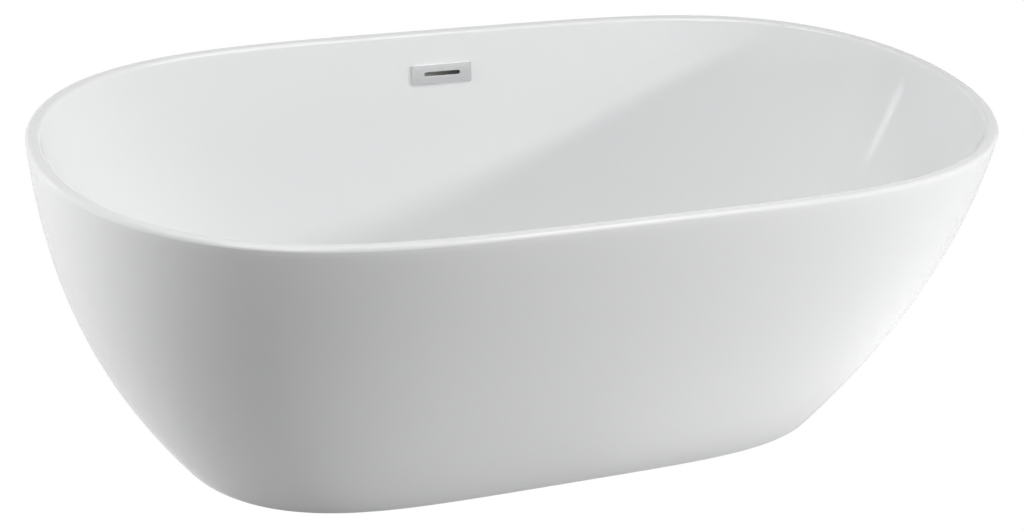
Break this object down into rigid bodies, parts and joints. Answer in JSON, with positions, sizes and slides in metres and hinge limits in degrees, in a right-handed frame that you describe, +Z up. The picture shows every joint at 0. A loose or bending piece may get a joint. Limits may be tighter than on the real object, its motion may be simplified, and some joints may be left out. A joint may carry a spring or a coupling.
{
  "type": "freestanding bathtub",
  "caption": "Glossy white oval freestanding bathtub with flared sides, a flat rolled rim, a slotted overflow, a push-to-close waste and levelling feet.",
  "frame": {"origin": "on the floor under the middle of the tub, level with the foot pads and the skirt's bottom edge", "axes": "+X along the length, +Y across towards the wall that has the overflow, +Z up"},
  "size_m": [1.7, 0.85, 0.57],
  "materials": {
    "acrylic": "glossy white sanitary acrylic",
    "resin": "cured polyester resin and glass fibre",
    "board": "raw plywood",
    "galvanised_steel": "dull galvanised",
    "zinc_plate": "bright zinc plated",
    "foot_rubber": "matt moulded rubber",
    "chrome": "polished chrome plate",
    "brass": "machined brass",
    "spring_steel": "drawn stainless wire and strip",
    "seal_rubber": "matt moulded rubber",
    "white_plastic": "moulded white polypropylene",
    "grey_hose": "ribbed grey hose"
  },
  "bodies": {
    "root": {"basin_shell": "acrylic", "skirt_shell": "acrylic", "rim_bond": "resin", "floor_board": "board", "frame_rail_front": "galvanised_steel", "frame_rail_rear": "galvanised_steel", "frame_bar_left": "galvanised_steel", "frame_bar_right": "galvanised_steel", "foot_weld_nut_1": "galvanised_steel", "foot_weld_nut_2": "galvanised_steel", "foot_weld_nut_3": "galvanised_steel", "foot_weld_nut_4": "galvanised_steel", "rail_screw_1": "zinc_plate", "rail_screw_2": "zinc_plate", "rail_screw_3": "zinc_plate", "rail_screw_4": "zinc_plate", "rail_screw_5": "zinc_plate", "rail_screw_6": "zinc_plate", "skirt_bracket_1": "zinc_plate", "skirt_bracket_2": "zinc_plate", "skirt_bracket_3": "zinc_plate", "skirt_bracket_4": "zinc_plate", "foot_lock_nut_1": "zinc_plate", "foot_lock_nut_2": "zinc_plate", "foot_lock_nut_3": "zinc_plate", "foot_lock_nut_4": "zinc_plate", "drain_flange": "chrome", "overflow_plate": "chrome", "click_cartridge": "brass", "cartridge_spring": "spring_steel", "hose_clip_upper": "spring_steel", "hose_clip_lower": "spring_steel", "drain_gasket": "seal_rubber", "overflow_gasket": "seal_rubber", "waste_shoe": "white_plastic", "waste_tailpiece": "white_plastic", "tailpiece_nut": "white_plastic", "overflow_box": "white_plastic", "overflow_hose": "grey_hose"},
    "stopper": {"stopper_cap": "chrome", "stopper_seal": "seal_rubber", "stopper_spindle": "brass"},
    "foot_1_pad": {"foot_pad_1": "foot_rubber"},
    "foot_1_stud": {"foot_stud_1": "zinc_plate"},
    "foot_2_pad": {"foot_pad_2": "foot_rubber"},
    "foot_2_stud": {"foot_stud_2": "zinc_plate"},
    "foot_3_pad": {"foot_pad_3": "foot_rubber"},
    "foot_3_stud": {"foot_stud_3": "zinc_plate"},
    "foot_4_pad": {"foot_pad_4": "foot_rubber"},
    "foot_4_stud": {"foot_stud_4": "zinc_plate"}
  },
  "joints": [
    {"name": "stopper_lift", "type": "slide", "parent": "root", "child": "stopper", "axis": [0, 0, 1], "range_m": [0, 0.009], "deforming": ["cartridge_spring"]},
    {"name": "foot_1_lift", "type": "slide", "parent": "root", "child": "foot_1_pad", "axis": [0, 0, -1], "range_m": [0, 0.0175]},
    {"name": "foot_1_turn", "type": "hinge", "parent": "foot_1_pad", "child": "foot_1_stud", "pos_m": [-0.4, -0.14, 0.05], "axis": [0, 0, -1], "range_deg": [0, 3600]},
    {"name": "foot_2_lift", "type": "slide", "parent": "root", "child": "foot_2_pad", "axis": [0, 0, -1], "range_m": [0, 0.0175]},
    {"name": "foot_2_turn", "type": "hinge", "parent": "foot_2_pad", "child": "foot_2_stud", "pos_m": [-0.4, 0.14, 0.05], "axis": [0, 0, -1], "range_deg": [0, 3600]},
    {"name": "foot_3_lift", "type": "slide", "parent": "root", "child": "foot_3_pad", "axis": [0, 0, -1], "range_m": [0, 0.0175]},
    {"name": "foot_3_turn", "type": "hinge", "parent": "foot_3_pad", "child": "foot_3_stud", "pos_m": [0.4, -0.14, 0.05], "axis": [0, 0, -1], "range_deg": [0, 3600]},
    {"name": "foot_4_lift", "type": "slide", "parent": "root", "child": "foot_4_pad", "axis": [0, 0, -1], "range_m": [0, 0.0175]},
    {"name": "foot_4_turn", "type": "hinge", "parent": "foot_4_pad", "child": "foot_4_stud", "pos_m": [0.4, 0.14, 0.05], "axis": [0, 0, -1], "range_deg": [0, 3600]}
  ],
  "couplings": [
    {"joint": "foot_1_turn", "follows": "foot_1_lift", "rad_per_m": 3590.4},
    {"joint": "foot_2_turn", "follows": "foot_2_lift", "rad_per_m": 3590.4},
    {"joint": "foot_3_turn", "follows": "foot_3_lift", "rad_per_m": 3590.4},
    {"joint": "foot_4_turn", "follows": "foot_4_lift", "rad_per_m": 3590.4}
  ]
}
